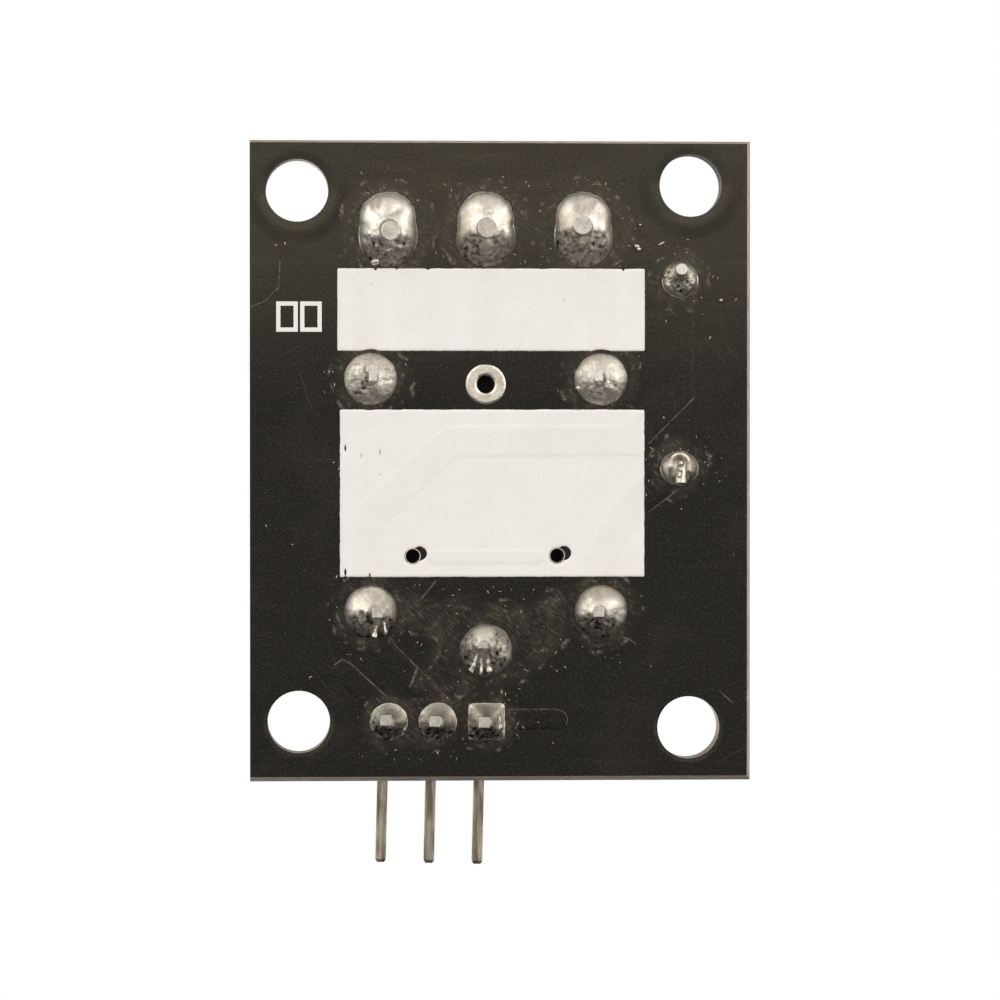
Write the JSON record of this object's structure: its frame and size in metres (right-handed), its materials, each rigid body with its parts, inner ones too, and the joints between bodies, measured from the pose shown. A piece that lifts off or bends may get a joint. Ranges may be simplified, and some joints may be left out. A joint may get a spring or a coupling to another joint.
{
  "type": "relay module board",
  "caption": "Single-channel relay module board with screw terminal, right-angle pin header, flyback diode and driver parts, shown from its soldered side.",
  "frame": {"origin": "centre of the four mounting holes, on the solder side of the board", "axes": "+Z from the solder side out of the component side, +Y towards the screw terminal, -Y towards the pin header"},
  "size_m": [0.0261, 0.0379, 0.0187],
  "materials": {
    "solder_mask": "satin black solder mask over glass-epoxy laminate",
    "print_ink": "matt white board print",
    "solder": "bright tin solder, a little grainy",
    "tinned_pins": "tin plate",
    "relay_plastic": "fine moulded blue",
    "relay_base_plastic": "moulded black",
    "relay_iron": "plated soft iron",
    "coil_copper": "enamelled copper wire",
    "contact_bronze": "spring bronze and brass strip",
    "contact_silver": "silver alloy",
    "terminal_plastic": "moulded blue",
    "zinc_screws": "bright zinc plate",
    "black_plastic": "matt black moulding",
    "lamp_white": "white chip carrier",
    "lamp_lens": "clear red resin"
  },
  "bodies": {
    "board": {"circuit_board": "solder_mask", "ink_block_upper": "print_ink", "ink_block_lower": "print_ink", "inspection_boxes": "print_ink", "terminal_solder_1": "solder", "terminal_solder_2": "solder", "terminal_solder_3": "solder", "contact_solder_1": "solder", "contact_solder_2": "solder", "coil_solder_1": "solder", "coil_solder_2": "solder", "common_solder": "solder", "header_solder_1": "solder", "header_solder_2": "solder", "header_solder_3": "solder", "diode_solder_1": "solder", "diode_solder_2": "solder", "spare_pad": "solder", "terminal_pin_1": "tinned_pins", "terminal_pin_2": "tinned_pins", "terminal_pin_3": "tinned_pins", "header_pin_1": "tinned_pins", "header_pin_2": "tinned_pins", "header_pin_3": "tinned_pins", "coil_pin_1": "tinned_pins", "coil_pin_2": "tinned_pins", "common_terminal": "tinned_pins", "diode_lead_1": "tinned_pins", "diode_lead_2": "tinned_pins", "transistor_legs": "tinned_pins", "base_resistor_ends": "tinned_pins", "lamp_resistor_ends": "tinned_pins", "lamp_base_ends": "tinned_pins", "relay_cover": "relay_plastic", "relay_base": "relay_base_plastic", "bobbin": "relay_base_plastic", "yoke": "relay_iron", "core": "relay_iron", "coil_winding": "coil_copper", "open_contact": "contact_bronze", "closed_contact": "contact_bronze", "terminal_housing": "terminal_plastic", "header_body": "black_plastic", "diode_body": "black_plastic", "transistor_body": "black_plastic", "base_resistor": "black_plastic", "lamp_resistor": "black_plastic", "lamp_base": "lamp_white", "lamp_lens": "lamp_lens"},
    "screw_1": {"terminal_screw_1": "zinc_screws"},
    "screw_2": {"terminal_screw_2": "zinc_screws"},
    "screw_3": {"terminal_screw_3": "zinc_screws"},
    "cage_1": {"wire_cage_1": "zinc_screws"},
    "cage_2": {"wire_cage_2": "zinc_screws"},
    "cage_3": {"wire_cage_3": "zinc_screws"},
    "armature_set": {"armature": "relay_iron", "contact_leaf": "contact_bronze", "moving_contact": "contact_silver"}
  },
  "joints": [
    {"name": "screw_1_turn", "type": "hinge", "parent": "board", "child": "screw_1", "pos_m": [0.00552, 0.01186, 0.0099], "axis": [0, 0, 1], "range_deg": [-1757.8, 0]},
    {"name": "cage_1_rise", "type": "slide", "parent": "board", "child": "cage_1", "axis": [0, 0, 1], "range_m": [0, 0.0022]},
    {"name": "screw_2_turn", "type": "hinge", "parent": "board", "child": "screw_2", "pos_m": [0.00044, 0.01186, 0.0099], "axis": [0, 0, 1], "range_deg": [-1757.8, 0]},
    {"name": "cage_2_rise", "type": "slide", "parent": "board", "child": "cage_2", "axis": [0, 0, 1], "range_m": [0, 0.0022]},
    {"name": "screw_3_turn", "type": "hinge", "parent": "board", "child": "screw_3", "pos_m": [-0.00464, 0.01186, 0.0099], "axis": [0, 0, 1], "range_deg": [-1757.8, 0]},
    {"name": "cage_3_rise", "type": "slide", "parent": "board", "child": "cage_3", "axis": [0, 0, 1], "range_m": [0, 0.0022]},
    {"name": "armature_swing", "type": "hinge", "parent": "board", "child": "armature_set", "pos_m": [0.00043, -0.0092, 0.0129], "axis": [1, 0, 0], "range_deg": [-2.4, 0], "stiffness_Nm_per_rad": 0.02, "springref_deg": 8.59}
  ],
  "couplings": [
    {"joint": "screw_1_turn", "follows": "cage_1_rise", "rad_per_m": -13963},
    {"joint": "screw_2_turn", "follows": "cage_2_rise", "rad_per_m": -13963},
    {"joint": "screw_3_turn", "follows": "cage_3_rise", "rad_per_m": -13963}
  ]
}
